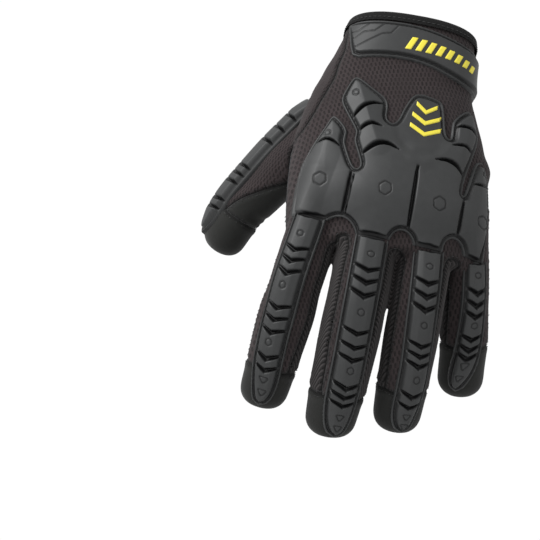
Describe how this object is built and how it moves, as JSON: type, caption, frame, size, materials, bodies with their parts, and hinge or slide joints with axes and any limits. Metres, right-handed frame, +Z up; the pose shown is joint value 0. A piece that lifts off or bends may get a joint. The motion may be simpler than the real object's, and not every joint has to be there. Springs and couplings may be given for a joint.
{
  "type": "impact glove",
  "caption": "Left-hand work glove with moulded rubber impact guards over the back, fingers and thumb, hollow and open at the wrist.",
  "frame": {"origin": "centre of the wrist opening, in the plane of its rim", "axes": "+Z up the forearm, fingers along -Z; the back of the hand faces -Y; the thumb is towards -X"},
  "size_m": [0.1671, 0.0961, 0.2281],
  "materials": {
    "mesh_cloth": "knitted air mesh",
    "suede": "synthetic suede",
    "ribbed_cloth": "ribbed knit",
    "binding": "sewn binding",
    "rubber": "satin moulded rubber",
    "webbing": "woven webbing",
    "accent": "raised yellow print",
    "thread": "stitching"
  },
  "bodies": {
    "root": {"back_panel": "mesh_cloth", "palm_panel": "suede", "finger_back_index": "mesh_cloth", "finger_back_middle": "mesh_cloth", "finger_back_ring": "mesh_cloth", "finger_back_little": "mesh_cloth", "finger_front_index": "suede", "finger_front_middle": "suede", "finger_front_ring": "suede", "finger_front_little": "suede", "fingertip_index": "suede", "fingertip_middle": "suede", "fingertip_ring": "suede", "fingertip_little": "suede", "fourchette_index_middle": "ribbed_cloth", "fourchette_middle_ring": "ribbed_cloth", "fourchette_ring_little": "ribbed_cloth", "thumb_back_panel": "mesh_cloth", "thumb_palm_panel": "suede", "thumb_tip": "suede", "cuff_binding": "binding", "wrist_tab": "rubber", "back_guard": "rubber", "thumb_guard": "rubber", "pull_tab": "webbing"}
  },
  "joints": []
}
